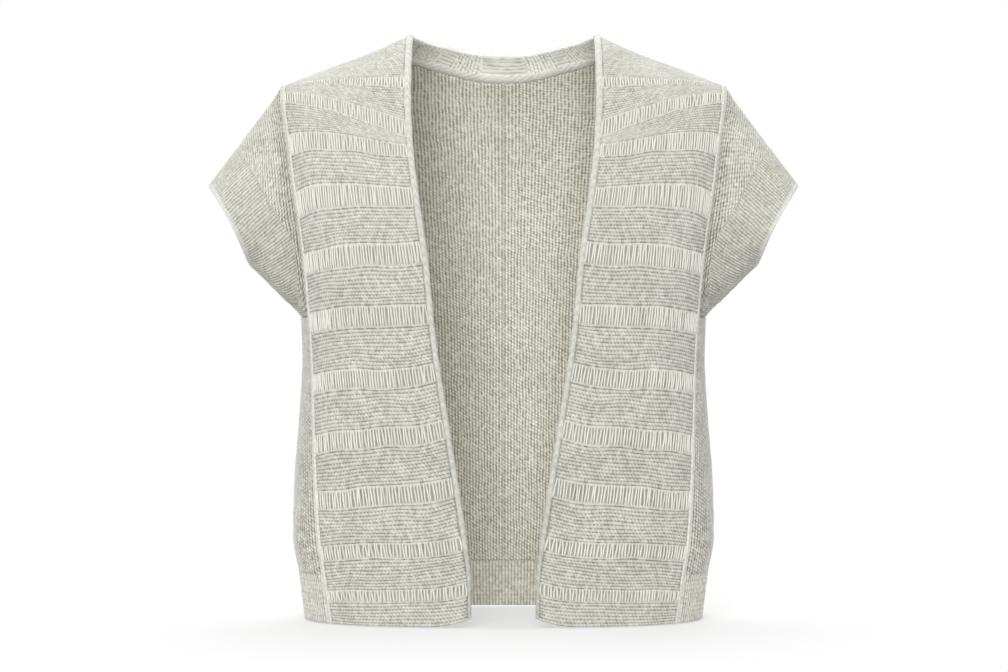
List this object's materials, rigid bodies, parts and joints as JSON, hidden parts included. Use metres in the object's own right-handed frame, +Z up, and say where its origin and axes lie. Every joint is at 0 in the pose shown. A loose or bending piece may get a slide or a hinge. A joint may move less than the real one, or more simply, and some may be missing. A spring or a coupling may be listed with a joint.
{
  "type": "cardigan",
  "caption": "Open-front knitted cardigan with cap sleeves, ribbed cuffs and hem, and front strips of garter and drop-stitch bands, filled out as worn.",
  "frame": {"origin": "on the centre line at the base of the neck, between the shoulders", "axes": "+Z up, the open front towards -Y, +X to the viewer's right seen from the front"},
  "size_m": [0.6162, 0.2615, 0.6089],
  "materials": {
    "strip_yarn": "matt knitted yarn",
    "edge_yarn": "matt knitted yarn, rolled and chained",
    "purl_yarn": "matt knitted yarn, purl side",
    "rib_yarn": "matt knitted yarn, ribbed"
  },
  "bodies": {
    "root": {"front_strip_left": "strip_yarn", "front_strip_right": "strip_yarn", "front_edge_left": "edge_yarn", "front_edge_right": "edge_yarn", "strip_seam_left": "edge_yarn", "strip_seam_right": "edge_yarn", "side_panel_left": "purl_yarn", "side_panel_right": "purl_yarn", "side_hem_left": "rib_yarn", "side_hem_right": "rib_yarn", "sleeve_left": "purl_yarn", "sleeve_right": "purl_yarn", "cuff_left": "rib_yarn", "cuff_right": "rib_yarn", "back_panel": "purl_yarn", "back_hem": "rib_yarn", "neck_band": "strip_yarn", "neck_seam": "edge_yarn"}
  },
  "joints": []
}
